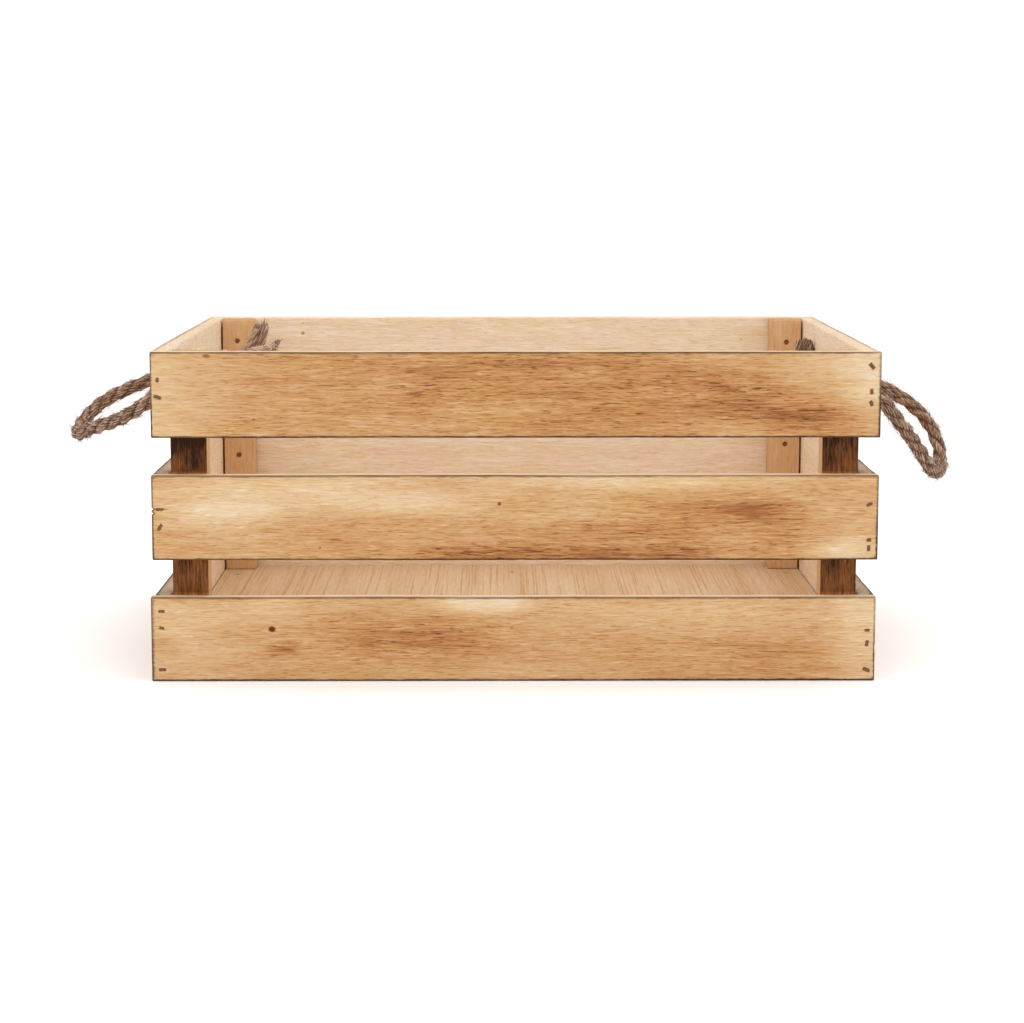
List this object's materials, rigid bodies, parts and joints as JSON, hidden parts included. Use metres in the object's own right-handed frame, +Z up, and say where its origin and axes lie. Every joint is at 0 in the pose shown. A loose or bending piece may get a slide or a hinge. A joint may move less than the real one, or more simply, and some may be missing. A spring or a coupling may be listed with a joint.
{
  "type": "shipping crate",
  "caption": "Small open-topped wooden crate with spaced slats on all four sides, inner corner posts, a thin panel floor and a knotted rope handle at each end.",
  "frame": {"origin": "centre of the underside of the box, on the ground, measured without the rope handles", "axes": "+Z up, +X along the long slats to the right as seen from the front, -Y is the front"},
  "size_m": [0.5383, 0.31, 0.1833],
  "materials": {
    "torched_slat_wood": "sawn, lightly torched",
    "post_wood": "sawn, darkened",
    "floor_plywood": "raw plywood",
    "bearer_wood": "sawn",
    "nail_steel": "dull, tarnished",
    "jute_rope": "twisted jute"
  },
  "bodies": {
    "root": {"front_slat_bottom": "torched_slat_wood", "rear_slat_bottom": "torched_slat_wood", "left_end_slat_bottom": "torched_slat_wood", "right_end_slat_bottom": "torched_slat_wood", "front_slat_middle": "torched_slat_wood", "rear_slat_middle": "torched_slat_wood", "left_end_slat_middle": "torched_slat_wood", "right_end_slat_middle": "torched_slat_wood", "front_slat_top": "torched_slat_wood", "rear_slat_top": "torched_slat_wood", "left_end_slat_top": "torched_slat_wood", "right_end_slat_top": "torched_slat_wood", "corner_post_front_left": "post_wood", "corner_post_front_right": "post_wood", "corner_post_rear_left": "post_wood", "corner_post_rear_right": "post_wood", "bottom_panel": "floor_plywood", "floor_bearer_left": "bearer_wood", "floor_bearer_middle": "bearer_wood", "floor_bearer_right": "bearer_wood", "front_slat_nails": "nail_steel", "rear_slat_nails": "nail_steel", "left_end_slat_nails": "nail_steel", "right_end_slat_nails": "nail_steel", "corner_post_pins": "nail_steel", "floor_pins": "nail_steel", "left_rope_knot_front": "jute_rope", "left_rope_knot_rear": "jute_rope", "right_rope_knot_front": "jute_rope", "right_rope_knot_rear": "jute_rope"},
    "left_handle": {"left_rope_loop": "jute_rope"},
    "right_handle": {"right_rope_loop": "jute_rope"}
  },
  "joints": [
    {"name": "left_handle_swing", "type": "hinge", "parent": "root", "child": "left_handle", "pos_m": [-0.20455, 0, 0.155], "axis": [0, 1, 0], "range_deg": [-52, 103]},
    {"name": "right_handle_swing", "type": "hinge", "parent": "root", "child": "right_handle", "pos_m": [0.20455, 0, 0.155], "axis": [0, -1, 0], "range_deg": [-40, 104]}
  ]
}
